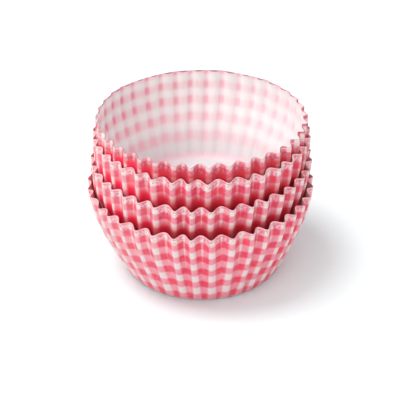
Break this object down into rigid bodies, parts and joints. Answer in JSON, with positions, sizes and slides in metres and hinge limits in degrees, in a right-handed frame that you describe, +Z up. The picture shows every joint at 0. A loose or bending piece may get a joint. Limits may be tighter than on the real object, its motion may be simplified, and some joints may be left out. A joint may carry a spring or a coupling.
{
  "type": "stack of cupcake liners",
  "caption": "Nested pleated paper baking cups with plain round floors and fluted flaring walls, gingham check outside and white inside.",
  "frame": {"origin": "centre of the underside of the bottom liner's floor", "axes": "+Z up along the axis of the stack, towards the open mouths; +X to the picture's right"},
  "size_m": [0.0706, 0.0704, 0.0519],
  "materials": {
    "printed_paper": "matte greaseproof paper, red and white gingham print outside, white inside"
  },
  "bodies": {
    "root": {"bottom_liner": "printed_paper", "second_liner": "printed_paper", "third_liner": "printed_paper", "top_liner": "printed_paper"}
  },
  "joints": []
}
